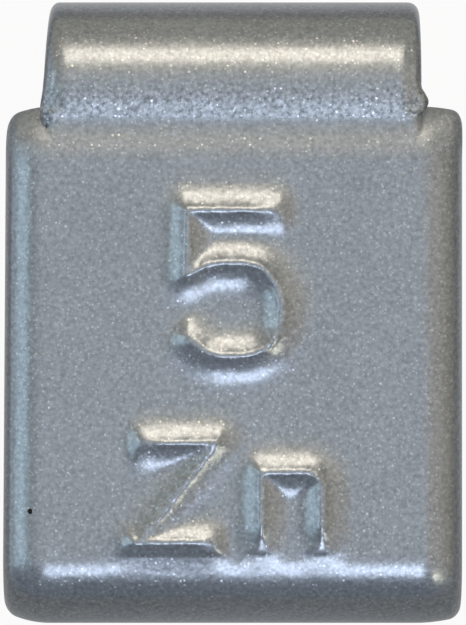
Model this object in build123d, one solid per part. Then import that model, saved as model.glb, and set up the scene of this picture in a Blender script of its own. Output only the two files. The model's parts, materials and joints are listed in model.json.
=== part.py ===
"""A five-gram clip-on wheel balance weight: a zinc body cast around one leg of a sprung steel clip.

The weight is drawn as it hangs on a wheel: X across, Y from the front face (-Y) to the rim (+Y), Z up
towards the clip's crown, with the body's back plane at Y = 0 and its foot at Z = 0. At the end both pieces
are laid on their back, as the loose weight comes to rest: front face up, foot towards -Y, standing on the
body's back foot edge and the clip's tip, with the middle of the footprint's box at the origin.
Sizes are in millimetres, angles in degrees.
"""

import os
from math import acos, asin, atan2, cos, degrees, hypot, radians, sin, sqrt

from build123d import *

# Zinc body
BODY_WIDTH = 14.65
BODY_HEIGHT = 16.65
BODY_THICKNESS = 2.72
FOOT_RADIUS = 2.3
BROW_RADIUS = 1.9
SIDE_ROUND = 0.9
BACK_ROUND = 0.2

# Rim flange that the weight is made for
RIM_LIP_RADIUS = 1.8
RIM_CURVE_RADIUS = 10.0

# Steel strip of the clip
STRIP_WIDTH = 12.0
STRIP_THICKNESS = 1.0
STRIP_EDGE_ROUND = 0.35
TIP_ROUND = 0.3

# Bends of the clip: from the crown down its front to the anchor, and down its back to the tip
CROWN_RISE = 3.35
FRONT_PROUD = 0.1
ROOT_LEAN = 16.0
ROOT_BEND_RADIUS = 3.0
ANCHOR_LENGTH = 4.0
ANCHOR_HOLE_RADIUS = 1.5
FREE_LEG_LEAN = 22.0
FREE_LEG_LENGTH = 3.6

HALF_STRIP = STRIP_THICKNESS / 2
CROWN_RADIUS = RIM_LIP_RADIUS + STRIP_THICKNESS
edge_round = min(STRIP_EDGE_ROUND, 0.9 * HALF_STRIP)
tip_round = min(TIP_ROUND, edge_round)


def step(angle, length):
    """A step in the side view (Y, Z): angle 0 points to the front, 90 points up, 180 points to the rim."""
    return Vector(-length * cos(radians(angle)), length * sin(radians(angle)))


def arc(centre, radius, first, last):
    """An arc in the side view between two angles of step()."""
    points = [centre + step(angle, radius) for angle in (first, (first + last) / 2, last)]
    return ThreePointArc(*points).edge()


# Centre of the crown's bend, where the middle of the rim's lip sits: the bend stands proud of the front face
hook_centre = Vector(CROWN_RADIUS - BODY_THICKNESS - FRONT_PROUD, BODY_HEIGHT + CROWN_RISE - CROWN_RADIUS)

# Centre of the flange's curve, which starts at the body's back plane and ends in the lip
curve_reach = hook_centre.X + RIM_CURVE_RADIUS
curve_rise = sqrt((RIM_CURVE_RADIUS + RIM_LIP_RADIUS) ** 2 - curve_reach**2)
curve_centre = Vector(-RIM_CURVE_RADIUS, hook_centre.Y - curve_rise)

# The brow's arc and the flange's curve meet in the ridge along the body's top
curve_turn = degrees(asin((BODY_HEIGHT - curve_centre.Y) / RIM_CURVE_RADIUS))
ridge = curve_centre + step(180 - curve_turn, RIM_CURVE_RADIUS)
brow_turn = degrees(acos(1 - (BODY_THICKNESS + ridge.X) / BROW_RADIUS))
brow_centre = ridge - step(brow_turn, BROW_RADIUS)
foot_radius = min(FOOT_RADIUS, BODY_THICKNESS - 1.2 * BACK_ROUND)
foot_centre = Vector(foot_radius - BODY_THICKNESS, foot_radius)
side_round = min(SIDE_ROUND, 0.9 * foot_radius, 0.9 * BROW_RADIUS)


def cast_body():
    """The zinc casting, before the clip's leg takes its room: a rounded block cut off where it meets the rim."""
    foot_arc = arc(foot_centre, foot_radius, -90, 0)
    brow_arc = arc(brow_centre, BROW_RADIUS, 0, 90)
    block_foot = Vector(BROW_RADIUS, 0)
    block_top = Vector(BROW_RADIUS, brow_centre.Y + BROW_RADIUS)
    block_outline = [
        Line(block_foot, foot_arc @ 0).edge(),
        foot_arc,
        Line(foot_arc @ 1, brow_arc @ 0).edge(),
        brow_arc,
        Line(brow_arc @ 1, block_top).edge(),
        Line(block_top, block_foot).edge(),
    ]
    block = extrude(Plane.YZ * make_face(block_outline), BODY_WIDTH / 2, both=True)
    ends = block.faces().filter_by(Axis.X)
    front_edges = [edge for end in ends for edge in end.edges() if edge.center().Y < -BODY_THICKNESS / 2]
    block = fillet(front_edges, side_round)

    rim_arc = arc(curve_centre, RIM_CURVE_RADIUS, 180, 90)
    below_back = Vector(0, -FOOT_RADIUS)
    below_front = Vector(-RIM_CURVE_RADIUS, -FOOT_RADIUS)
    seat_outline = [
        Line(below_back, rim_arc @ 0).edge(),
        rim_arc,
        Line(rim_arc @ 1, below_front).edge(),
        Line(below_front, below_back).edge(),
    ]
    body = block & extrude(Plane.YZ * make_face(seat_outline), BODY_WIDTH, both=True)
    cross_edges = body.edges().filter_by(Axis.X)
    foot_edge = cross_edges.sort_by_distance((0, 0, 0))[0]
    ridge_edge = cross_edges.sort_by_distance((0, ridge.X, ridge.Y))[0]
    return fillet([foot_edge, ridge_edge], BACK_ROUND)


# The strip's middle line runs from the anchor's end in the zinc to the free leg's tip
root = hook_centre + step(-ROOT_LEAN, CROWN_RADIUS - HALF_STRIP)
bend_reach = ROOT_BEND_RADIUS * (1 - cos(radians(ROOT_LEAN)))
slope_length = (-BODY_THICKNESS / 2 - root.X - bend_reach) / sin(radians(ROOT_LEAN))
bend_first = root + step(270 - ROOT_LEAN, slope_length)
bend_centre = bend_first + step(-ROOT_LEAN, ROOT_BEND_RADIUS)
bend_last = bend_centre + step(180, ROOT_BEND_RADIUS)
anchor_end = bend_last - Vector(0, ANCHOR_LENGTH)
crown_last = hook_centre + step(180 - FREE_LEG_LEAN, CROWN_RADIUS - HALF_STRIP)
tip = crown_last + step(270 - FREE_LEG_LEAN, FREE_LEG_LENGTH)


def bent_clip():
    """The clip: a strip with rounded edges swept along its bends, holed where the zinc keys through it."""
    path = Plane.YZ * Wire(
        [
            Line(anchor_end, bend_last).edge(),
            arc(bend_centre, ROOT_BEND_RADIUS, 180, 180 - ROOT_LEAN),
            Line(bend_first, root).edge(),
            arc(hook_centre, CROWN_RADIUS - HALF_STRIP, -ROOT_LEAN, 180 - FREE_LEG_LEAN),
            Line(crown_last, tip).edge(),
        ]
    )
    start = Plane(origin=path @ 0, x_dir=(1, 0, 0), z_dir=path % 0)
    clip = sweep(start * RectangleRounded(STRIP_WIDTH, STRIP_THICKNESS, edge_round), path)
    tip_face = clip.faces().sort_by_distance(path @ 1)[0]
    clip = fillet(tip_face.edges(), tip_round)
    key = Cylinder(ANCHOR_HOLE_RADIUS, 2 * BODY_THICKNESS, rotation=(90, 0, 0))
    return clip - Pos(0, anchor_end.X, anchor_end.Y + ANCHOR_LENGTH / 2) * key


# The lying weight touches the ground along one line at the foot's back edge and one at the clip's tip
foot_contact = Vector(-BACK_ROUND, BACK_ROUND)
tip_contact = tip + step(180 - FREE_LEG_LEAN, HALF_STRIP - tip_round) - step(270 - FREE_LEG_LEAN, tip_round)
contacts_apart = tip_contact - foot_contact
contact_slope = asin((tip_round - BACK_ROUND) / hypot(contacts_apart.X, contacts_apart.Y))
lie_angle = atan2(contacts_apart.X, contacts_apart.Y) + contact_slope
lie_down = Rot(degrees(lie_angle) - 90, 0, 0)

spring_clip = bent_clip()
zinc_body = cast_body() - spring_clip
lying = {"zinc_body": lie_down * zinc_body, "spring_clip": lie_down * spring_clip}
box = Compound(list(lying.values())).bounding_box()
place = Pos(0, -box.center().Y, -box.min.Z)

os.makedirs("parts", exist_ok=True)
for name, solid in lying.items():
    export_step(place * solid, f"parts/{name}.step")
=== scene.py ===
"""Looks of a five-gram clip-on wheel balance weight: a painted zinc body, with raised marks, on its clip.

The pieces are drawn upright, as the weight hangs on a wheel, in millimetres: X across, Y from the front face
(-Y) to the rim (+Y), Z up, with the body's back plane at Y = 0 and its foot at Z = 0. The frame's mounts then
say how the drawing lies in the row frame. A tilt is the angle of a surface in the side view: 0 faces the
front, 90 faces up, 180 faces the rim.
"""

import json
from math import acos, asin, atan2, cos, degrees, hypot, radians, sin, sqrt, tan

import bmesh
import bpy
import numpy as np
from mathutils import Matrix, Vector, noise


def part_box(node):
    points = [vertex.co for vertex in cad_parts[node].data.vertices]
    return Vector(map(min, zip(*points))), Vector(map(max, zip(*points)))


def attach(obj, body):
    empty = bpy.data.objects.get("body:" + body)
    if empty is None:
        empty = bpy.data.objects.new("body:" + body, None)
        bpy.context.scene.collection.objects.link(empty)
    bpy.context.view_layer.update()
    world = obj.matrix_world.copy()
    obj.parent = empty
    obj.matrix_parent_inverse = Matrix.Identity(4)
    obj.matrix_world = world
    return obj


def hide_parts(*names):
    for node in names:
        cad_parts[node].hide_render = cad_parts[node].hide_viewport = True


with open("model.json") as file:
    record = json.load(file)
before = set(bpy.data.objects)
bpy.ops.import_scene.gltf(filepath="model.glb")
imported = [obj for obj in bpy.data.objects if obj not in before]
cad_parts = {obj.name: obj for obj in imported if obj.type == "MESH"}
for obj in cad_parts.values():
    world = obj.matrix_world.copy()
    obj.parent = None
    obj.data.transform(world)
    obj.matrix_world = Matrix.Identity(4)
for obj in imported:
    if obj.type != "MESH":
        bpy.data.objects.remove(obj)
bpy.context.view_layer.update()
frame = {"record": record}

MM = 0.001
PER_MM = 1 / MM

# Sizes of the solids, in millimetres and degrees
BODY_WIDTH = 2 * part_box("zinc_body")[1].x / MM
BODY_HEIGHT = 16.65
BODY_THICKNESS = 2.72
FOOT_RADIUS = 2.3
BACK_ROUND = 0.2
RIM_LIP_RADIUS = 1.8
RIM_CURVE_RADIUS = 10.0
STRIP_WIDTH = 2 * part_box("spring_clip")[1].x / MM
STRIP_THICKNESS = 1.0
STRIP_EDGE_ROUND = 0.35
TIP_ROUND = 0.3
CROWN_RISE = 3.35
FRONT_PROUD = 0.1
ROOT_LEAN = 16.0
ROOT_BEND_RADIUS = 3.0
ANCHOR_LENGTH = 4.0
FREE_LEG_LEAN = 22.0
FREE_LEG_LENGTH = 3.6

# Brow and sides of the body, which the solid rounds plainly: a wide brow, and sides where the face falls away
# softly before it turns round more tightly; the foot and the top fall away less, and the left side leans in
# towards the top
BROW_RADIUS = 2.2
SIDE_FALL_START = 5.875
LEFT_FALL = 0.49
RIGHT_FALL = 0.62
LEFT_END_FALL = 0.36
RIGHT_END_FALL = 0.2
SIDE_TURN = 0.36
LEFT_LEAN = 0.11
LEFT_TOP_LEAN = 0.11
LEFT_TOP_START = 15.0

# Raised marks on the face: how far their hollow flanks reach, the height that the flanks aim at, the low and
# partly worn step up to their narrow flat top, their soft ends, where they fade out at the foot, and how
# uneven they are
MARK_REACH = 1.45
MARK_HEIGHT = 0.40
MARK_HOLLOW = 2.6
MARK_FLAT = 0.07
MARK_STEP = 0.016
MARK_STEP_WIDTH = 0.09
MARK_STEP_LEAST = 0.25
MARK_STEP_WORN = 0.36
MARK_STEP_WHOLE = 0.56
MARK_END_SOFT = 0.32
MARK_FADE_LOW = 1.8
MARK_FADE_HIGH = 2.45
MARK_UNEVEN = 0.06
MARK_UNEVEN_SIZE = 0.22
MARK_UNEVEN_DETAIL = 1.0

# Rounds of smoothing: for the marks' crests, for the paint that fills their inner corners, and for both
CREST_SMOOTHING = 2
CORNER_SMOOTHING = 16
MARK_SMOOTHING = 1

# Fineness of the meshes, in millimetres, and the part of the face where it is finest
MARKS_LEFT = -3.9
MARKS_RIGHT = 3.7
MARKS_TOP = 14.1
MARKS_GRID = 0.048
SKIRT = 0.6
SKIRT_GRID = 0.1
PLAIN_GRID = 0.14
SHOULDER_GRID = 0.09
STRIP_GRID = 0.09
STROKE_GRID = 0.5 * MARKS_GRID

# Points along the round stretches of the body, in the order of its side view, and of the clip
FOOT_POINTS = 41
BROW_POINTS = 37
RIDGE_POINTS = 9
RIM_POINTS = 13
BACK_POINTS = 8
HEEL_POINTS = 7
SIDE_POINTS = 13
ROOT_BEND_POINTS = 9
CROWN_POINTS = 81
STRIP_EDGE_POINTS = 12

# Paint that fills the crease where the clip comes out of the zinc, and how far the crease reaches below the
# brow and keeps from the ridge
CREASE_FILL = 0.35
CREASE_BELOW_BROW = 0.2
CREASE_FROM_RIDGE = 0.1

# The clip's front beyond this share of its rounded edge counts as a straight slope, for the crease
EDGE_ROUND_SHARE = 0.95
EDGE_DROP_SHARE = 0.7
EDGE_SLOPE = 3.0

# The photograph's height, and how the camera sees the face, in pixels and millimetres
PHOTO_HEIGHT_PX = 625
SENSOR_HEIGHT = 24.0
FACE_PX_PER_MM = 31.58
CAMERA_DISTANCE = 135.0
VIEW_CENTRE_X = 0.016
VIEW_CENTRE_Z = 9.990


def step(tilt, length):
    """A step in the side view (Y, Z) towards a tilt."""
    return np.array([-length * cos(radians(tilt)), length * sin(radians(tilt))])


def arc(centre, radius, first, last, count):
    """Points (Y, Z) on an arc between two tilts, both ends included."""
    return [centre + step(tilt, radius) for tilt in np.linspace(first, last, count)]


def eased_arc(centre, first_radius, last_radius, first, last, count):
    """Points (Y, Z) between two tilts on an arc whose radius eases from one value to another."""
    points = []
    for share in np.linspace(0, 1, count):
        radius = first_radius + (last_radius - first_radius) * sin(radians(90 * share)) ** 2
        points.append(centre + step(first + (last - first) * share, radius))
    return points


# Centres of the bends in the side view, worked out as for the solids
HALF_STRIP = STRIP_THICKNESS / 2
CROWN_RADIUS = RIM_LIP_RADIUS + STRIP_THICKNESS
hook_centre = np.array([CROWN_RADIUS - BODY_THICKNESS - FRONT_PROUD, BODY_HEIGHT + CROWN_RISE - CROWN_RADIUS])
curve_reach = hook_centre[0] + RIM_CURVE_RADIUS
curve_rise = sqrt((RIM_CURVE_RADIUS + RIM_LIP_RADIUS) ** 2 - curve_reach**2)
curve_centre = np.array([-RIM_CURVE_RADIUS, hook_centre[1] - curve_rise])
curve_turn = degrees(asin((BODY_HEIGHT - curve_centre[1]) / RIM_CURVE_RADIUS))
ridge = curve_centre + step(180 - curve_turn, RIM_CURVE_RADIUS)
brow_turn = degrees(acos(1 - (BODY_THICKNESS + ridge[0]) / BROW_RADIUS))
brow_centre = ridge - step(brow_turn, BROW_RADIUS)
foot_centre = np.array([FOOT_RADIUS - BODY_THICKNESS, FOOT_RADIUS])


def row_from_drawing():
    """Matrix from the upright drawing to the row frame, in metres, by the back face and the hook's centre."""
    mounts = {mount["name"]: mount for mount in frame["record"]["mounts"]}
    to_rim = Vector(mounts["body_back"]["axis"]).normalized()
    across = Vector((1, 0, 0))
    turn = Matrix((across, to_rim, across.cross(to_rim))).transposed()
    hook = Vector((0, *hook_centre)) * MM
    return Matrix.Translation(Vector(mounts["rim_hook"]["pos_m"]) - turn @ hook) @ turn.to_4x4()


ROW = row_from_drawing()
face_centre = ROW @ (Vector((VIEW_CENTRE_X, -BODY_THICKNESS, VIEW_CENTRE_Z)) * MM)
face_axis = (ROW.to_3x3() @ Vector((0, -1, 0))).normalized()
face_up = (ROW.to_3x3() @ Vector((0, 0, 1))).normalized()
face_right = Vector((1, 0, 0))


class Term:
    """An output socket in a node tree, for use in Python expressions."""

    def __init__(self, tree, socket):
        self.tree = tree
        self.socket = socket

    def is_vector(self):
        return self.socket.type in ("VECTOR", "RGBA")

    def joined(self, operation, first, second):
        """A Math node on values, or a Vector Math node where either side is a vector or a colour."""
        sides = [first, second]
        if any(isinstance(side, tuple) or isinstance(side, Term) and side.is_vector() for side in sides):
            sides = [(side,) * 3 if isinstance(side, (int, float)) else side for side in sides]
            return self.tree.add("ShaderNodeVectorMath", dict(enumerate(sides)), operation=operation)
        return self.tree.add("ShaderNodeMath", dict(enumerate(sides)), operation=operation)

    def __add__(self, other):
        return self.joined("ADD", self, other)

    def __radd__(self, other):
        return self.joined("ADD", other, self)

    def __sub__(self, other):
        return self.joined("SUBTRACT", self, other)

    def __rsub__(self, other):
        return self.joined("SUBTRACT", other, self)

    def __mul__(self, other):
        return self.joined("MULTIPLY", self, other)

    def __rmul__(self, other):
        return self.joined("MULTIPLY", other, self)

    def __truediv__(self, other):
        return self.joined("DIVIDE", self, other)

    def __rtruediv__(self, other):
        return self.joined("DIVIDE", other, self)

    def __pow__(self, other):
        return self.joined("POWER", self, other)

    def __lt__(self, other):
        return self.joined("LESS_THAN", self, other)


class Nodes:
    """Adds nodes to one tree."""

    def __init__(self, tree):
        self.tree = tree

    def add(self, kind, sockets=None, output=0, **settings):
        """A new node of a kind: its settings first, then its sockets' values or links. Gives one output."""
        node = self.tree.nodes.new(kind)
        for name, value in settings.items():
            setattr(node, name, value)
        for key, value in (sockets or {}).items():
            if isinstance(value, Term):
                self.tree.links.new(value.socket, node.inputs[key])
            else:
                node.inputs[key].default_value = value
        return Term(self, node.outputs[output]) if node.outputs else node

    def mix(self, factor, first, second):
        """A colour between two colours."""
        return self.add("ShaderNodeMix", {0: factor, 6: first, 7: second}, output=2, data_type="RGBA")

    def ramp(self, value, first, last):
        """A smooth rise from 0 at the first value to 1 at the last."""
        ends = {"Value": value, "From Min": first, "From Max": last}
        return self.add("ShaderNodeMapRange", ends, interpolation_type="SMOOTHSTEP")

    def larger(self, first, second):
        """The larger of two values."""
        return self.add("ShaderNodeMath", {0: first, 1: second}, operation="MAXIMUM")

    def smaller(self, first, second):
        """The smaller of two values."""
        return self.add("ShaderNodeMath", {0: first, 1: second}, operation="MINIMUM")

    def measured(self, operation, first, second):
        """One value measured from two vectors."""
        return self.add("ShaderNodeVectorMath", {0: first, 1: second}, output="Value", operation=operation)

    def dot(self, first, second):
        """The dot product of two vectors."""
        return self.measured("DOT_PRODUCT", first, second)

    def distance(self, first, second):
        """The distance between two places."""
        return self.measured("DISTANCE", first, second)

    def smoothed(self, value, rounds):
        """A value of a mesh, smoothed along its edges."""
        sockets = {"Value": value, "Iterations": rounds}
        return self.add("GeometryNodeBlurAttribute", sockets, data_type="FLOAT")


def new_shader(owner):
    """An empty node tree on a material or the world."""
    owner.use_nodes = True
    owner.node_tree.nodes.clear()
    return Nodes(owner.node_tree)


def shade_out(nodes, kind, shader):
    """Ends a shader tree in its output node."""
    nodes.add(kind, {"Surface": shader})


# Paint, with sizes in millimetres: its ground, and the noises that make it uneven
PAINT_BLUE_GREY = (0.268, 0.303, 0.350)
PAINT_METALLIC = 0.92
PAINT_ROUGHNESS = 0.27
COAT_WEIGHT = 0.25
COAT_ROUGHNESS = 0.14
BODY_PEEL = 0.011
CLIP_PEEL = 0.008
PEEL_SIZE = 0.42
PEEL_DETAIL = 1.5
MOTTLE_SIZE = 2.6
MOTTLE_DETAIL = 3.0
GRAIN_SIZE = 0.13
GRAIN_DETAIL = 2.0

# The paint's tone, how far the mottle and the grain change it, and how far the mottle changes the roughness
TONE_MIDDLE = 0.92
TONE_MOTTLE = 0.14
TONE_GRAIN = 0.96
ROUGHNESS_MOTTLE = 0.05

# Flakes: their colour and tint, how rough and how large they are, how they tilt, and how much they cover
FLAKE_PALE = (0.62, 0.68, 0.76, 1.0)
FLAKE_TINT = 0.12
FLAKE_ROUGHNESS = 0.26
FLAKE_SIZE = 0.105
FLAKE_TILT = 0.32
FLAKE_CORE = 0.1
FLAKE_RIM = 0.55
FLAKE_COVER = 0.45

# The crease, as heights on the drawing: paint is rougher in it, and on the clip grainier and fuller of flakes
CREASE_LOW = 14.4
CREASE_HIGH = 17.5
CREASE_EDGE = 0.9
CREASE_ROUGHNESS = 0.42
CREASE_GRAIN = 1.44
CREASE_COVER = 0.35

# A dark speck on the left of the face
SPECK_X = -6.41
SPECK_Z = 3.69
SPECK_DEPTH = 0.1
SPECK_RADIUS = 0.09
SPECK_RAGGED = 0.05
SPECK_DARK = (0.012, 0.011, 0.010, 1.0)


def uneven_noise(nodes, place, size, detail):
    """Noise from 0 to 1 over the paint, with patches of a size in millimetres."""
    return nodes.add("ShaderNodeTexNoise", {"Vector": place, "Scale": PER_MM / size, "Detail": detail})


def crease_share(nodes, place):
    """1 in the crease at the clip's root and 0 away from it, by the height on the drawing."""
    height = (nodes.dot(place, face_up) - ROW.translation.dot(face_up)) * PER_MM
    rise = nodes.ramp(height, CREASE_LOW, CREASE_LOW + CREASE_EDGE)
    fall = nodes.ramp(height, CREASE_HIGH, CREASE_HIGH - CREASE_EDGE)
    return rise * fall


def speck_share(nodes, place, grain):
    """1 in the dark speck, whose edge the paint's grain makes ragged, and 0 outside it."""
    speck_place = Vector((SPECK_X, SPECK_DEPTH - BODY_THICKNESS, SPECK_Z)) * MM
    from_speck = nodes.distance(place, ROW @ speck_place) * PER_MM
    return from_speck + SPECK_RAGGED * (grain - 0.5) < SPECK_RADIUS


def metallic_paint(name, peel_depth, crease_glitter):
    """Blue-grey metallic paint with some peel, rougher in the crease, with flakes that glitter one by one."""
    material = bpy.data.materials.new(name)
    nodes = new_shader(material)
    place = nodes.add("ShaderNodeTexCoord", output="Object")
    mottle = uneven_noise(nodes, place, MOTTLE_SIZE, MOTTLE_DETAIL)
    grain = uneven_noise(nodes, place, GRAIN_SIZE, GRAIN_DETAIL)
    peel = uneven_noise(nodes, place, PEEL_SIZE, PEEL_DETAIL)
    speck = speck_share(nodes, place, grain)
    crease = crease_share(nodes, place)
    loose = crease_glitter * crease

    rougher = (CREASE_ROUGHNESS - PAINT_ROUGHNESS) * crease
    rough = PAINT_ROUGHNESS + rougher + ROUGHNESS_MOTTLE * (mottle - 0.5)
    contrast = TONE_GRAIN + CREASE_GRAIN * loose
    tone = TONE_MIDDLE + TONE_MOTTLE * (mottle - 0.5) + contrast * (grain - 0.5)
    colour = nodes.mix(speck, tone * PAINT_BLUE_GREY, SPECK_DARK)
    peeled = nodes.add("ShaderNodeBump", {"Height": peel, "Distance": peel_depth * MM, "Strength": 1.0})
    paint = nodes.add(
        "ShaderNodeBsdfPrincipled",
        {
            "Base Color": colour,
            "Metallic": PAINT_METALLIC,
            "Roughness": rough,
            "Coat Weight": COAT_WEIGHT,
            "Coat Roughness": COAT_ROUGHNESS,
            "Normal": peeled,
        },
    )

    flake = nodes.add("ShaderNodeTexVoronoi", {"Vector": place, "Scale": PER_MM / FLAKE_SIZE}, output="Color")
    from_flake = Term(nodes, flake.socket.node.outputs["Distance"])
    fleck = nodes.add("ShaderNodeTexWhiteNoise", {"Vector": flake}, output="Value")
    leaning = peeled + FLAKE_TILT * (flake - 0.5)
    tilted = nodes.add("ShaderNodeVectorMath", {0: leaning}, operation="NORMALIZE")
    glitter = nodes.add(
        "ShaderNodeBsdfPrincipled",
        {
            "Base Color": nodes.mix(FLAKE_TINT, FLAKE_PALE, flake),
            "Metallic": 1.0,
            "Roughness": FLAKE_ROUGHNESS,
            "Normal": tilted,
        },
    )
    inside = 1 - nodes.ramp(from_flake, FLAKE_CORE, FLAKE_RIM)
    shown = inside * fleck * fleck * (1 - speck) * (FLAKE_COVER + CREASE_COVER * loose)
    mixed = nodes.add("ShaderNodeMixShader", {0: shown, 1: paint, 2: glitter})
    shade_out(nodes, "ShaderNodeOutputMaterial", mixed)
    return material


def new_tree(name, sockets):
    """A geometry tree with named inputs. Gives its nodes, and its inputs' terms and modifier keys by name."""
    tree = bpy.data.node_groups.new(name, "GeometryNodeTree")
    tree.interface.new_socket("Geometry", in_out="OUTPUT", socket_type="NodeSocketGeometry")
    keys = {}
    for label, kind in {"Geometry": "NodeSocketGeometry", **sockets}.items():
        keys[label] = tree.interface.new_socket(label, in_out="INPUT", socket_type=kind).identifier
    nodes = Nodes(tree)
    group = tree.nodes.new("NodeGroupInput")
    return nodes, {label: Term(nodes, group.outputs[label]) for label in keys}, keys


def end_tree(nodes, geometry, paint):
    """Ends a geometry tree: smooth faces, realized instances and the paint."""
    smooth = nodes.add("GeometryNodeSetShadeSmooth", {"Geometry": geometry})
    real = nodes.add("GeometryNodeRealizeInstances", {"Geometry": smooth})
    painted = nodes.add("GeometryNodeSetMaterial", {"Geometry": real, "Material": paint})
    nodes.add("NodeGroupOutput", {"Geometry": painted})


def new_piece(name, mesh):
    """An object at the origin that holds the mesh."""
    piece = bpy.data.objects.new(name, mesh)
    bpy.context.collection.objects.link(piece)
    return piece


def grown(piece, tree, keys, values):
    """Runs a geometry tree on the piece and keeps the result as its plain mesh."""
    modifier = piece.modifiers.new(tree.name, "NODES")
    modifier.node_group = tree
    for label, value in values.items():
        modifier[keys[label]] = value
    bpy.context.view_layer.update()
    evaluated = piece.evaluated_get(bpy.context.evaluated_depsgraph_get())
    mesh = bpy.data.meshes.new_from_object(evaluated)
    piece.modifiers.remove(modifier)
    drawing = piece.data
    piece.data = mesh
    bpy.data.meshes.remove(drawing)
    mesh.name = piece.name


def lay_down(piece):
    """Moves the piece's mesh from the upright drawing, in metres, to the row frame."""
    piece.data.transform(ROW)
    piece.data.update()


def circles_meet(first_centre, first_radius, second_centre, second_radius):
    """The upper point where two circles in the side view meet."""
    apart = second_centre - first_centre
    distance = hypot(*apart)
    along = (distance**2 + first_radius**2 - second_radius**2) / (2 * distance)
    aside = sqrt(first_radius**2 - along**2)
    ahead = apart / distance
    sideways = np.array([-ahead[1], ahead[0]])
    points = [first_centre + ahead * along + side * aside * sideways for side in (1, -1)]
    return max(points, key=lambda point: point[1])


def tilt_of(offset):
    """The tilt that an offset in the side view points to."""
    return degrees(atan2(offset[1], -offset[0]))


def spaced(first, last, grid):
    """Even places from first up to, but without, last."""
    return list(np.linspace(first, last, max(1, round(abs(last - first) / grid)), endpoint=False))


def face_rows():
    """Heights of the mesh's rows on the flat face, finest where the marks are."""
    marks = spaced(FOOT_RADIUS, MARKS_TOP, MARKS_GRID)
    return [*marks, *spaced(MARKS_TOP, brow_centre[1], SHOULDER_GRID), brow_centre[1]]


def body_loop(front_inset, end_inset, back_inset):
    """The body's closed side view (Y, Z), inset at its front, at its foot and top, and at its back: from the
    foot, up the front, and down the back."""
    foot_below, foot_front = FOOT_RADIUS - end_inset, FOOT_RADIUS - front_inset
    brow_front, brow_top = BROW_RADIUS - front_inset, BROW_RADIUS - end_inset
    rim_radius = RIM_CURVE_RADIUS - back_inset
    corner = circles_meet(brow_centre, brow_top - BACK_ROUND, curve_centre, rim_radius - BACK_ROUND)
    brow_end = tilt_of(corner - brow_centre)
    rim_start = tilt_of(corner - curve_centre)
    back_foot = np.array([-back_inset - BACK_ROUND, end_inset + BACK_ROUND])
    back_heights = np.linspace(curve_centre[1], back_foot[1], BACK_POINTS)
    front = front_inset - BODY_THICKNESS
    return np.array(
        [
            *eased_arc(foot_centre, foot_below, foot_front, -90, 0, FOOT_POINTS)[:-1],
            *[np.array([front, height]) for height in face_rows()],
            *eased_arc(brow_centre, brow_front, brow_top, 0, brow_end, BROW_POINTS)[1:],
            *arc(corner, BACK_ROUND, brow_end, rim_start, RIDGE_POINTS)[1:],
            *arc(curve_centre, rim_radius, rim_start, 180, RIM_POINTS)[1:],
            *[np.array([-back_inset, height]) for height in back_heights[1:]],
            *arc(back_foot, BACK_ROUND, 180, 270, HEEL_POINTS)[1:],
        ]
    )


def side_stations(marks_end):
    """Places across the body from the end of its marks to one side, evenly turned round that side."""
    shoulder = STRIP_WIDTH / 2 - 2 * STRIP_EDGE_ROUND
    turn_start = BODY_WIDTH / 2 - SIDE_TURN
    turned = [turn_start + SIDE_TURN * sin(radians(turn)) for turn in np.linspace(0, 90, SIDE_POINTS)]
    skirt = spaced(marks_end, marks_end + SKIRT, SKIRT_GRID)
    plain = spaced(marks_end + SKIRT, shoulder, PLAIN_GRID)
    return skirt + plain + spaced(shoulder, turn_start, SHOULDER_GRID) + turned


def stations():
    """Places across the body from its left side to its right one, finest at the marks."""
    left = [-place for place in reversed(side_stations(-MARKS_LEFT))]
    return left + spaced(MARKS_LEFT, MARKS_RIGHT, MARKS_GRID)[1:] + side_stations(MARKS_RIGHT)


def round_inset(x, rounding):
    """How far a rounded side pulls in at a place across the body."""
    past = max(0.0, abs(x) - (BODY_WIDTH / 2 - rounding))
    return rounding - sqrt(max(0.0, rounding**2 - past**2))


def side_inset(x, fall):
    """How far the body pulls in at a place across it: a soft fall, and the turn at its side."""
    past = max(0.0, abs(x) - SIDE_FALL_START) / (BODY_WIDTH / 2 - SIDE_FALL_START)
    return fall * past**2 + round_inset(x, SIDE_TURN)


def left_lean(x, height):
    """How far a place moves in from the left, as the left side leans in towards the top."""
    near_top = max(0.0, height - LEFT_TOP_START) / (BODY_HEIGHT - LEFT_TOP_START)
    lean = LEFT_LEAN * height / BODY_HEIGHT + LEFT_TOP_LEAN * near_top**2
    return lean * max(0.0, -x) / (BODY_WIDTH / 2)


def clip_front(x, height):
    """How far the clip's front stands forward of the body's back plane, at a place on the front."""
    root = hook_centre + step(-ROOT_LEAN, CROWN_RADIUS)
    if height < root[1]:
        depth = root[0] + (root[1] - height) * tan(radians(ROOT_LEAN))
    else:
        depth = hook_centre[0] - sqrt(CROWN_RADIUS**2 - (height - hook_centre[1]) ** 2)
    past = abs(x) - (STRIP_WIDTH / 2 - STRIP_EDGE_ROUND)
    slope_start = EDGE_ROUND_SHARE * STRIP_EDGE_ROUND
    if past <= 0:
        return -depth
    if past < slope_start:
        return -depth - STRIP_EDGE_ROUND + sqrt(STRIP_EDGE_ROUND**2 - past**2)
    return -depth - EDGE_DROP_SHARE * STRIP_EDGE_ROUND - EDGE_SLOPE * (past - slope_start)


def crease_filled(x, y, height):
    """The body's front depth where paint has run into the crease at the clip's root."""
    body, clip = -y, clip_front(x, height)
    ahead = clip - body
    if abs(ahead) >= 2 * CREASE_FILL:
        return y
    if ahead > CREASE_FILL:
        return -(clip - 2 * (ahead - CREASE_FILL) ** 2 / CREASE_FILL)
    overlap = max(0.0, CREASE_FILL - abs(ahead))
    return -(max(body, clip) + overlap**2 / (4 * CREASE_FILL))


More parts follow.
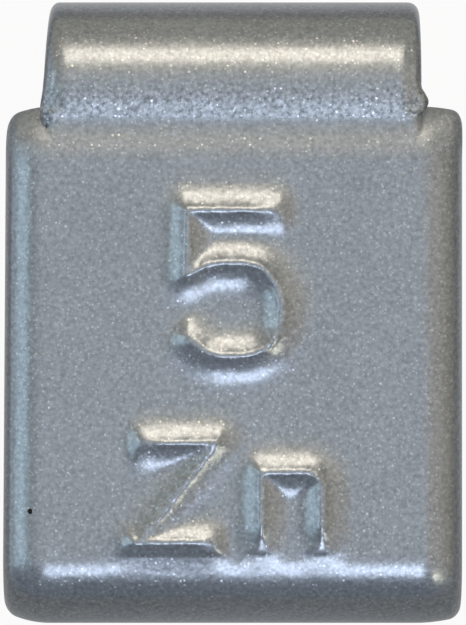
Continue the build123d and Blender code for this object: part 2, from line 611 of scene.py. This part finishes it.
def body_mesh():
    """The closed mesh of the body before its marks, drawn upright in metres."""
    places = stations()
    crease_bottom = brow_centre[1] - CREASE_BELOW_BROW
    points = []
    for x in places:
        fall, end_fall = (LEFT_FALL, LEFT_END_FALL) if x < 0 else (RIGHT_FALL, RIGHT_END_FALL)
        loop = body_loop(side_inset(x, fall), side_inset(x, end_fall), round_inset(x, BACK_ROUND))
        for y, z in loop:
            on_front = crease_bottom < z and y < ridge[0] - CREASE_FROM_RIDGE
            points.append((x + left_lean(x, z), crease_filled(x, y, z) if on_front else y, z))
    rows = len(loop)
    faces = []
    for column in range(len(places) - 1):
        for row in range(rows):
            after = (row + 1) % rows
            near, far = column * rows, (column + 1) * rows
            faces.append((near + row, far + row, far + after, near + after))
    faces.append(tuple(range(rows)))
    faces.append(tuple(range(len(points) - 1, len(points) - 1 - rows, -1)))
    mesh = bpy.data.meshes.new("zinc_body_drawing")
    mesh.from_pydata([tuple(MM * value for value in point) for point in points], [], faces)
    whole = bmesh.new()
    whole.from_mesh(mesh)
    bmesh.ops.recalc_face_normals(whole, faces=whole.faces)
    whole.to_mesh(mesh)
    whole.free()
    return mesh


# Strokes of the raised marks on the face (X, Z, and a strength where it isn't full): the mass in grams, and
# the sign of the metal; and how many times as steep as the flanks the ends of each are
FIVE_END = 2.7
ZINC_Z_END = 2.7
ZINC_N_END = 1.3
FIVE_ARMS = [(1.52, 13.23), (-1.42, 13.23), (-1.44, 11.20)]
FIVE_BOWL = [
    (-0.74, 11.50),
    (0.0, 11.57),
    (0.60, 11.52),
    (0.99, 11.33),
    (1.33, 10.92),
    (1.53, 10.40),
    (1.55, 10.00),
    (1.40, 9.33),
    (1.02, 8.87),
    (0.50, 8.67),
    (0.0, 8.63),
    (-0.74, 8.72),
    (-1.12, 8.97),
    (-1.48, 9.28),
]
ZINC_Z = [
    (-2.95, 5.87),
    (-0.52, 5.87),
    (-0.57, 5.78, 0.95),
    (-1.07, 5.11, 0.78),
    (-2.41, 3.41, 0.76),
    (-2.93, 2.76, 0.80),
    (-3.09, 2.73, 0.85),
    (-0.56, 2.73),
]
ZINC_N_STEM = 0.91
ZINC_N_TOP = 4.95
ZINC_N_LEG = 2.82
ZINC_N_FOOT = 2.72
ZINC_N_CORNER = 0.55
ZINC_N_FADE = 0.5
ZINC_N_FADED = 0.7


def small_n():
    """The stroke of the small n: up its stem, along its top and round a corner into its right leg."""
    turns = [radians(turn) for turn in range(0, 91, 10)]
    left, low = ZINC_N_LEG - ZINC_N_CORNER, ZINC_N_TOP - ZINC_N_CORNER
    corner = [(left + ZINC_N_CORNER * sin(turn), low + ZINC_N_CORNER * cos(turn)) for turn in turns]
    ankle = ZINC_N_FOOT + ZINC_N_FADE
    stem = [(ZINC_N_STEM, ZINC_N_FOOT, ZINC_N_FADED), (ZINC_N_STEM, ankle), (ZINC_N_STEM, ZINC_N_TOP)]
    return [*stem, *corner, (ZINC_N_LEG, ankle), (ZINC_N_LEG, ZINC_N_FOOT, ZINC_N_FADED)]


def mark_strokes():
    """A curve object with the middle lines of the marks, on the face of the upright drawing."""
    curve = bpy.data.curves.new("mark_strokes", "CURVE")
    curve.dimensions = "3D"
    strokes = ((FIVE_ARMS, FIVE_BOWL, FIVE_END), (ZINC_Z, [], ZINC_Z_END), (small_n(), [], ZINC_N_END))
    for straight, bent, steeper in strokes:
        spline = curve.splines.new("BEZIER")
        spline.bezier_points.add(len(straight) + len(bent) - 1)
        handles = ["VECTOR"] * len(straight) + ["AUTO"] * len(bent)
        for point, (x, z, *strength), handle in zip(spline.bezier_points, straight + bent, handles):
            point.co = (x * MM, -BODY_THICKNESS * MM, z * MM)
            point.radius = strength[0] if strength else 1
            point.tilt = steeper
            point.handle_left_type = handle
            point.handle_right_type = handle
    return new_piece("mark_strokes", curve)


def stroke_lines(nodes, given):
    """The strokes as fine lines, and the kinds of the values that their points keep: the stroke's strength,
    how steep its ends are, how far off the nearer end is and, at an end, the way out."""
    strokes = nodes.add("GeometryNodeObjectInfo", {"Object": given["Strokes"]}, output="Geometry")
    spacing = {"Curve": strokes, "Length": given["Stroke Step"]}
    fine = nodes.add("GeometryNodeResampleCurve", spacing, mode="LENGTH")
    starts = nodes.add("GeometryNodeCurveEndpointSelection", {"Start Size": 1, "End Size": 0})
    ends = nodes.add("GeometryNodeCurveEndpointSelection", {"Start Size": 0, "End Size": 1})
    along = nodes.add("GeometryNodeSplineParameter", output="Length")
    whole = nodes.add("GeometryNodeSplineLength", output="Length")
    kept = {
        "strength": ("FLOAT", nodes.add("GeometryNodeInputRadius")),
        "steeper": ("FLOAT", nodes.add("GeometryNodeInputCurveTilt")),
        "to_end": ("FLOAT", nodes.smaller(along, whole - along)),
        "end_way": ("FLOAT_VECTOR", nodes.add("GeometryNodeInputTangent") * (ends - starts)),
    }
    for name, (kind, value) in kept.items():
        stored = {"Geometry": fine, "Name": name, "Value": value}
        fine = nodes.add("GeometryNodeStoreNamedAttribute", stored, data_type=kind)
    lines = nodes.add("GeometryNodeCurveToMesh", {"Curve": fine})
    return lines, {name: kind for name, (kind, value) in kept.items()}


def away_from_strokes(nodes, given, place):
    """How far a place is from the nearest stroke, with more for what is past its ends, and its strength."""
    lines, kinds = stroke_lines(nodes, given)
    on_line = nodes.add("GeometryNodeProximity", {0: lines}, target_element="EDGES")
    distance = Term(nodes, on_line.socket.node.outputs["Distance"])
    index = nodes.add("GeometryNodeSampleNearest", {"Geometry": lines, "Sample Position": place})
    near = {}
    for name, kind in kinds.items():
        named = nodes.add("GeometryNodeInputNamedAttribute", {"Name": name}, data_type=kind)
        sampled = {"Geometry": lines, "Value": named, "Index": index}
        near[name] = nodes.add("GeometryNodeSampleIndex", sampled, data_type=kind)
    past_end = nodes.larger(nodes.dot(place - on_line, near["end_way"]), 0.0)
    soft = given["End Soft"]
    beyond = past_end - near["to_end"] - 0.5 * soft
    ended = 0.5 * near["steeper"] * (beyond + (beyond * beyond + soft * soft) ** 0.5)
    aside = nodes.larger(distance * distance - past_end * past_end, 0.0)
    return (aside + ended * ended) ** 0.5, near["strength"]


def raised_marks_tree():
    """Geometry nodes that lift the face towards the nearest stroke, in hollow flanks up to a flat top."""
    nodes, given, keys = new_tree(
        "raised_marks",
        {
            "Strokes": "NodeSocketObject",
            "Stroke Step": "NodeSocketFloat",
            "Height": "NodeSocketFloat",
            "Reach": "NodeSocketFloat",
            "Hollow": "NodeSocketFloat",
            "Flat": "NodeSocketFloat",
            "Step": "NodeSocketFloat",
            "Step Width": "NodeSocketFloat",
            "End Soft": "NodeSocketFloat",
            "Fade Low": "NodeSocketFloat",
            "Fade High": "NodeSocketFloat",
            "Uneven": "NodeSocketFloat",
            "Uneven Size": "NodeSocketFloat",
            "Paint": "NodeSocketMaterial",
        },
    )
    place = nodes.add("GeometryNodeInputPosition")
    away, strength = away_from_strokes(nodes, given, place)
    flank = nodes.larger(1 - nodes.larger(away, given["Flat"]) / given["Reach"], 0.0)
    noise_size = {"Vector": place, "Scale": 1 / given["Uneven Size"], "Detail": MARK_UNEVEN_DETAIL}
    uneven = nodes.add("ShaderNodeTexNoise", noise_size)
    on_top = 1 - nodes.ramp(away, given["Flat"], given["Flat"] + given["Step Width"])
    unworn = MARK_STEP_LEAST + (1 - MARK_STEP_LEAST) * nodes.ramp(uneven, MARK_STEP_WORN, MARK_STEP_WHOLE)
    stepped = given["Step"] * on_top * unworn
    upwards = nodes.add("ShaderNodeSeparateXYZ", {"Vector": place}, output="Z")
    above_foot = nodes.ramp(upwards, given["Fade Low"], given["Fade High"])
    height = (given["Height"] * strength * flank ** given["Hollow"] + stepped) * above_foot
    crisp = nodes.smoothed(height, CREST_SMOOTHING)
    filled = nodes.smoothed(height, CORNER_SMOOTHING)
    lift = nodes.smoothed(nodes.larger(crisp, filled), MARK_SMOOTHING)
    offset = nodes.add("ShaderNodeCombineXYZ", {"Y": 0 - lift * (1 + given["Uneven"] * (uneven - 0.5))})
    raised = nodes.add("GeometryNodeSetPosition", {"Geometry": given["Geometry"], "Offset": offset})
    end_tree(nodes, raised, given["Paint"])
    return nodes.tree, keys


def make_body(paint):
    """The zinc body: the casting with its raised marks."""
    body = new_piece("painted_zinc_body", body_mesh())
    strokes = mark_strokes()
    tree, keys = raised_marks_tree()
    sizes = {
        "Strokes": strokes,
        "Stroke Step": STROKE_GRID * MM,
        "Height": MARK_HEIGHT * MM,
        "Reach": MARK_REACH * MM,
        "Hollow": MARK_HOLLOW,
        "Flat": MARK_FLAT * MM,
        "Step": MARK_STEP * MM,
        "Step Width": MARK_STEP_WIDTH * MM,
        "End Soft": MARK_END_SOFT * MM,
        "Fade Low": MARK_FADE_LOW * MM,
        "Fade High": MARK_FADE_HIGH * MM,
        "Uneven": MARK_UNEVEN,
        "Uneven Size": MARK_UNEVEN_SIZE * MM,
        "Paint": paint,
    }
    grown(body, tree, keys, sizes)
    bpy.data.objects.remove(strokes)
    lay_down(body)
    return body


# Steel clip: the margins of its outer skin fall away, and its edges start at an inner place across; the left
# edge flares at the root and tapers towards the crown, and shearing has left a burr and a groove on the right
EDGE_FALL_START = 5.25
EDGE_FALL = 0.2
EDGE_FALL_POWER = 1.4
OUTER_SKIN = 1.2
EDGE_INNER = 5.4
FLARE_HEIGHT = 16.6
FLARE_LENGTH = 1.0
FLARE_OUT = 0.11
TAPER_START = 17.3
TAPER = 0.055
BURR_HEIGHT = 16.7
BURR_LENGTH = 0.5
BURR_OUT = 0.42
BURR_LUMPS_PER_MM = 1.9
GROOVE_X = 5.66
GROOVE_HALF = 0.09
GROOVE_DEPTH = 0.05
GROOVE_WANDER = 0.05
GROOVE_WAVES_PER_MM = 3.1


def clip_path():
    """The strip's middle line (Y, Z) from the anchor's end to the free leg's tip, and the tip's direction."""
    middle = CROWN_RADIUS - HALF_STRIP
    root = hook_centre + step(-ROOT_LEAN, middle)
    bend_reach = ROOT_BEND_RADIUS * (1 - cos(radians(ROOT_LEAN)))
    slope_length = (-BODY_THICKNESS / 2 - root[0] - bend_reach) / sin(radians(ROOT_LEAN))
    bend_centre = root + step(270 - ROOT_LEAN, slope_length) + step(-ROOT_LEAN, ROOT_BEND_RADIUS)
    bend = arc(bend_centre, ROOT_BEND_RADIUS, 180, 180 - ROOT_LEAN, ROOT_BEND_POINTS)
    anchor_end = bend[0] - np.array([0, ANCHOR_LENGTH])
    crown = arc(hook_centre, middle, -ROOT_LEAN, 180 - FREE_LEG_LEAN, CROWN_POINTS)
    down = step(270 - FREE_LEG_LEAN, 1.0)
    tip = crown[-1] + FREE_LEG_LENGTH * down
    return [anchor_end, *bend, *crown, tip], down


def bent_strip_tree():
    """Geometry nodes that draw a strip with rounded edges along a line of edges."""
    nodes, given, keys = new_tree(
        "bent_strip",
        {
            "Width": "NodeSocketFloat",
            "Thickness": "NodeSocketFloat",
            "Edge Round": "NodeSocketFloat",
            "Grid": "NodeSocketFloat",
            "Paint": "NodeSocketMaterial",
        },
    )
    path = nodes.add("GeometryNodeMeshToCurve", {"Mesh": given["Geometry"]})
    path = nodes.add("GeometryNodeResampleCurve", {"Curve": path, "Length": given["Grid"]}, mode="LENGTH")
    path = nodes.add("GeometryNodeSetCurveNormal", {"Curve": path}, mode="MINIMUM_TWIST")
    oblong = {"Width": given["Width"], "Height": given["Thickness"]}
    section = nodes.add("GeometryNodeCurvePrimitiveQuadrilateral", oblong)
    rounding = {"Curve": section, "Radius": given["Edge Round"], "Count": STRIP_EDGE_POINTS}
    section = nodes.add("GeometryNodeFilletCurve", rounding, mode="POLY")
    spacing = {"Curve": section, "Length": given["Grid"]}
    section = nodes.add("GeometryNodeResampleCurve", spacing, mode="LENGTH")
    strip = nodes.add("GeometryNodeCurveToMesh", {"Curve": path, "Profile Curve": section, "Fill Caps": True})
    end_tree(nodes, strip, given["Paint"])
    return nodes.tree, keys


def fallen_margin(place):
    """Where a place on the strip ends up as the margins of the strip's outer face fall away."""
    radial = np.array([place.y, place.z]) - hook_centre
    outside = (hypot(*radial) - CROWN_RADIUS) / HALF_STRIP + 1
    past = max(0.0, abs(place.x) - EDGE_FALL_START) / (STRIP_WIDTH / 2 - EDGE_FALL_START)
    tilt = tilt_of(radial)
    if 0 < outside < OUTER_SKIN and past > 0 and -ROOT_LEAN < tilt < 90:
        fall = EDGE_FALL * past**EDGE_FALL_POWER * cos(radians(tilt)) ** 2
        return place + Vector((0, *(radial * (-fall * outside / hypot(*radial)))))
    return place


def rounded_tip(place, along, aside, back):
    """Where a place near the free leg's tip ends up as the tip is rounded."""
    inner_x = max(-STRIP_WIDTH / 2 + STRIP_EDGE_ROUND, min(STRIP_WIDTH / 2 - STRIP_EDGE_ROUND, place.x))
    inner_aside = max(STRIP_EDGE_ROUND - HALF_STRIP, min(HALF_STRIP - STRIP_EDGE_ROUND, aside))
    way = Vector((place.x - inner_x, aside - inner_aside)).normalized()
    inset = TIP_ROUND - sqrt(max(0.0, TIP_ROUND**2 - (along + TIP_ROUND) ** 2))
    moved = back * (-way.y * inset)
    return place + Vector((-way.x * inset, moved[0], moved[1]))


def edge_share(place):
    """How far out a place is on either edge of the strip: 0 where the edge begins, 1 at its outermost."""
    return (abs(place.x) - EDGE_INNER) / (STRIP_WIDTH / 2 - EDGE_INNER)


def sheared_right(place):
    """Where a place on the right edge's front ends up with the burr and the groove that shearing has left."""
    lump = noise.noise(place * BURR_LUMPS_PER_MM) * 0.5 + 0.5
    root = cos(min(1.0, abs(place.z - BURR_HEIGHT) / BURR_LENGTH) * radians(90)) ** 2
    wander = GROOVE_WANDER * noise.noise(place * GROOVE_WAVES_PER_MM)
    groove = GROOVE_DEPTH * max(0.0, 1 - abs(place.x - GROOVE_X - wander) / GROOVE_HALF)
    return place + Vector((BURR_OUT * root * lump * edge_share(place), groove, 0))


def flared_left(place):
    """Where a place on the left edge ends up as it flares at the root and tapers towards the crown."""
    low = max(0.0, min(1.0, 1 - (place.z - FLARE_HEIGHT) / FLARE_LENGTH))
    flare = FLARE_OUT * low**2 if place.y < hook_centre[0] else 0.0
    taper = TAPER * max(0.0, place.z - TAPER_START)
    return place + Vector(((taper - flare) * edge_share(place), 0, 0))


def worn_strip(place, tip, down):
    """Where a place on the strip's surface ends up once its margins, tip and edges have their worn forms."""
    place = fallen_margin(place)
    back = np.array([down[1], -down[0]])
    from_tip = np.array([place.y, place.z]) - tip
    along, aside = float(from_tip @ down), float(from_tip @ back)
    if along > -TIP_ROUND and abs(aside) < STRIP_THICKNESS:
        return rounded_tip(place, along, aside, back)
    if place.x > EDGE_INNER and place.y < hook_centre[0]:
        return sheared_right(place)
    if place.x < -EDGE_INNER:
        return flared_left(place)
    return place


def make_clip(paint):
    """The clip: one strip of spring steel, bent over the rim's lip."""
    points, down = clip_path()
    line = bpy.data.meshes.new("clip_path")
    joined = [(index, index + 1) for index in range(len(points) - 1)]
    line.from_pydata([(0, y * MM, z * MM) for y, z in points], joined, [])
    clip = new_piece("painted_spring_clip", line)
    tree, keys = bent_strip_tree()
    sizes = {
        "Width": STRIP_WIDTH * MM,
        "Thickness": STRIP_THICKNESS * MM,
        "Edge Round": STRIP_EDGE_ROUND * MM,
        "Grid": STRIP_GRID * MM,
        "Paint": paint,
    }
    grown(clip, tree, keys, sizes)
    for vertex in clip.data.vertices:
        vertex.co = worn_strip(vertex.co / MM, points[-1], down) * MM
    lay_down(clip)
    return clip


# Stage, with sizes in metres: the floor as the camera sees it, and as reflections see it near the clip and
# farther off
FLOOR_WIDTH = 1.6
FLOOR_PALE = (0.30, 0.30, 0.30, 1.0)
FLOOR_WHITE_SEEN = 0.95
MIRRORED_NEAR = 0.50
MIRRORED_FAR = 0.10
MIRROR_CENTRE = (0.0, 0.009, 0.0)
MIRROR_NEAR_REACH = 0.012
MIRROR_FAR_REACH = 0.026
WHITE = (1.0, 1.0, 1.0, 1.0)

# The room's colours, and where each starts or ends as a share of the way up, to the left or to the right
ROOM_LOW = (0.34, 0.36, 0.39, 1.0)
ROOM_HIGH = (0.73, 0.66, 0.53, 1.0)
ROOM_LEFT = (0.84, 0.92, 0.98, 1.0)
ROOM_RIGHT = (0.52, 0.46, 0.36, 1.0)
ROOM_LOW_END = -0.55
ROOM_HIGH_START = 0.75
ROOM_LEFT_START = -0.75
ROOM_RIGHT_START = 0.6

# Soft lights: name, degrees from the face's axis towards the top and the right, width and height in degrees
# as seen from the face, brightness and colour
SOFT_LIGHTS = (
    ("front_fill", 0, -2, 50, 44, 0.40, (0.95, 0.98, 1.0)),
    ("warm_top_light", 44, 2, 36, 18, 2.45, (1.0, 0.83, 0.64)),
    ("warm_top_glow", 42, 2, 44, 40, 0.40, (1.0, 0.82, 0.60)),
    ("warm_right_fill", 0, 34, 27, 50, 0.35, (1.0, 0.80, 0.60)),
    ("warm_right_glow", 0, 54, 20, 50, 0.25, (1.0, 0.80, 0.58)),
    ("warm_right_lamp", -33.5, 37, 11, 11, 4.4, (1.0, 0.90, 0.66)),
    ("cool_foot_light", -29, 4, 22, 15, 3.6, (0.84, 0.885, 0.99)),
    ("cool_left_light", 0, -47.5, 18, 40, 0.98, (0.71, 0.93, 1.0)),
)
LAMP_DISTANCE = 0.5
WATTS_PER_AREA = 4.0


def make_floor():
    """A plain pale floor that keeps the object's shadow: white to the camera, and to reflections white near
    the clip and dim farther off."""
    mesh = bpy.data.meshes.new("floor")
    half = FLOOR_WIDTH / 2
    corners = [(-half, -half, 0), (half, -half, 0), (half, half, 0), (-half, half, 0)]
    mesh.from_pydata(corners, [], [(0, 1, 2, 3)])
    floor = new_piece("floor", mesh)
    material = bpy.data.materials.new("pale_floor")
    nodes = new_shader(material)
    rays = nodes.add("ShaderNodeLightPath", output="Is Camera Ray")
    outputs = rays.socket.node.outputs
    mirrored = Term(nodes, outputs["Is Glossy Ray"]) + Term(nodes, outputs["Is Transmission Ray"])
    place = nodes.add("ShaderNodeTexCoord", output="Object")
    near = nodes.ramp(nodes.distance(place, MIRROR_CENTRE), MIRROR_FAR_REACH, MIRROR_NEAR_REACH)
    seen = FLOOR_WHITE_SEEN * rays + (MIRRORED_FAR + (MIRRORED_NEAR - MIRRORED_FAR) * near) * mirrored
    matt = nodes.add("ShaderNodeBsdfDiffuse", {"Color": FLOOR_PALE})
    white = nodes.add("ShaderNodeEmission", {"Color": WHITE, "Strength": 1.0})
    mixed = nodes.add("ShaderNodeMixShader", {0: seen, 1: matt, 2: white})
    shade_out(nodes, "ShaderNodeOutputMaterial", mixed)
    mesh.materials.append(material)


def soft_light(name, towards_top, towards_right, width, height, brightness, colour):
    """A soft area light that looks at the middle of the face."""
    up_part = sin(radians(towards_top))
    right_part = sin(radians(towards_right))
    ahead_part = sqrt(1 - up_part**2 - right_part**2)
    way = face_axis * ahead_part + face_up * up_part + face_right * right_part
    data = bpy.data.lights.new(name, "AREA")
    data.shape = "RECTANGLE"
    data.size = 2 * LAMP_DISTANCE * tan(radians(width / 2))
    data.size_y = 2 * LAMP_DISTANCE * tan(radians(height / 2))
    data.color = colour
    data.energy = brightness * WATTS_PER_AREA * data.size * data.size_y
    light = new_piece(name, data)
    upright = way.cross(face_right).normalized()
    turn = Matrix((upright.cross(way), upright, way)).transposed().to_4x4()
    light.matrix_world = Matrix.Translation(face_centre + way * LAMP_DISTANCE) @ turn


def make_light():
    """Plain soft studio light, warm from the top and right, cool from the left and foot, in a grey room."""
    for light in SOFT_LIGHTS:
        soft_light(*light)
    world = bpy.data.worlds.new("grey_room")
    bpy.context.scene.world = world
    nodes = new_shader(world)
    way = nodes.add("ShaderNodeTexCoord", output="Generated")
    aside = nodes.dot(way, face_right)
    upwards = nodes.dot(way, face_up)
    colour = nodes.mix(nodes.ramp(upwards, ROOM_LOW_END, ROOM_HIGH_START), ROOM_LOW, ROOM_HIGH)
    colour = nodes.mix(nodes.ramp(aside, ROOM_LEFT_START, -1.0), colour, ROOM_LEFT)
    colour = nodes.mix(nodes.ramp(aside, ROOM_RIGHT_START, 1.0), colour, ROOM_RIGHT)
    room = nodes.add("ShaderNodeBackground", {"Color": colour, "Strength": 1.0})
    shade_out(nodes, "ShaderNodeOutputWorld", room)


def make_camera():
    """The photograph's camera: straight at the face, close enough for some perspective."""
    data = bpy.data.cameras.new("camera")
    data.sensor_fit = "VERTICAL"
    data.sensor_height = SENSOR_HEIGHT
    data.sensor_width = SENSOR_HEIGHT
    data.lens = SENSOR_HEIGHT * CAMERA_DISTANCE * FACE_PX_PER_MM / PHOTO_HEIGHT_PX
    data.clip_start = 0.001
    data.clip_end = 10.0
    camera = new_piece("camera", data)
    turn = Matrix((face_right, face_up, face_axis)).transposed().to_4x4()
    camera.matrix_world = Matrix.Translation(face_centre + face_axis * CAMERA_DISTANCE * MM) @ turn
    bpy.context.scene.camera = camera


zinc_paint = metallic_paint("zinc_paint", BODY_PEEL, crease_glitter=0.0)
clip_paint = metallic_paint("clip_paint", CLIP_PEEL, crease_glitter=1.0)
for piece, node, slot in (
    (make_body(zinc_paint), "zinc_body", "zinc_paint"),
    (make_clip(clip_paint), "spring_clip", "clip_paint"),
):
    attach(piece, "root")
    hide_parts(node)
make_floor()
make_light()
make_camera()
bpy.context.scene.view_settings.view_transform = "Standard"
